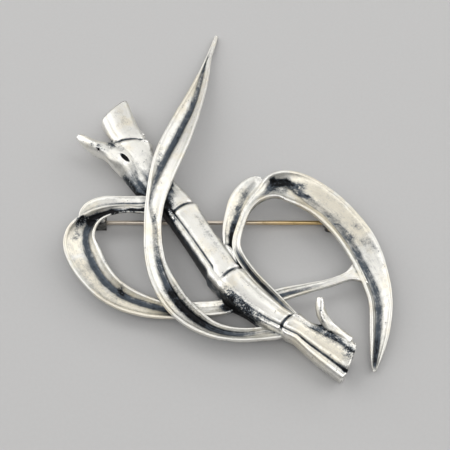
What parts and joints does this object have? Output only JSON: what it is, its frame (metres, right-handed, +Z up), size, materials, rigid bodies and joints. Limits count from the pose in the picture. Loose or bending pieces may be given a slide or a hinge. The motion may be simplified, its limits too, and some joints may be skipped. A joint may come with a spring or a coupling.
{
  "type": "bamboo brooch",
  "caption": "Bamboo brooch in darkened silver: a jointed, hollow-backed stalk with long channelled leaves, and a hinged wire pin with an open catch on its back.",
  "frame": {"origin": "on the surface that the brooch lies on, under the middle of its outline", "axes": "+Z up out of the brooch's face; +Y towards the tall leaf's tip; +X towards the right leaf"},
  "size_m": [0.0667, 0.0883, 0.0087],
  "materials": {
    "silver": "satin silver, polished on the rims and darkened in the grooves",
    "brass": "worn satin brass"
  },
  "bodies": {
    "brooch": {"spray": "silver", "hinge_bracket": "silver", "hinge_rivet": "brass", "catch": "silver"},
    "pin": {"pin_stem": "brass"}
  },
  "joints": [
    {"name": "pin_hinge", "type": "hinge", "parent": "brooch", "child": "pin", "pos_m": [0.0224, -0.0091, 0.0013], "axis": [0, -1, 0], "range_deg": [0, 90]}
  ]
}
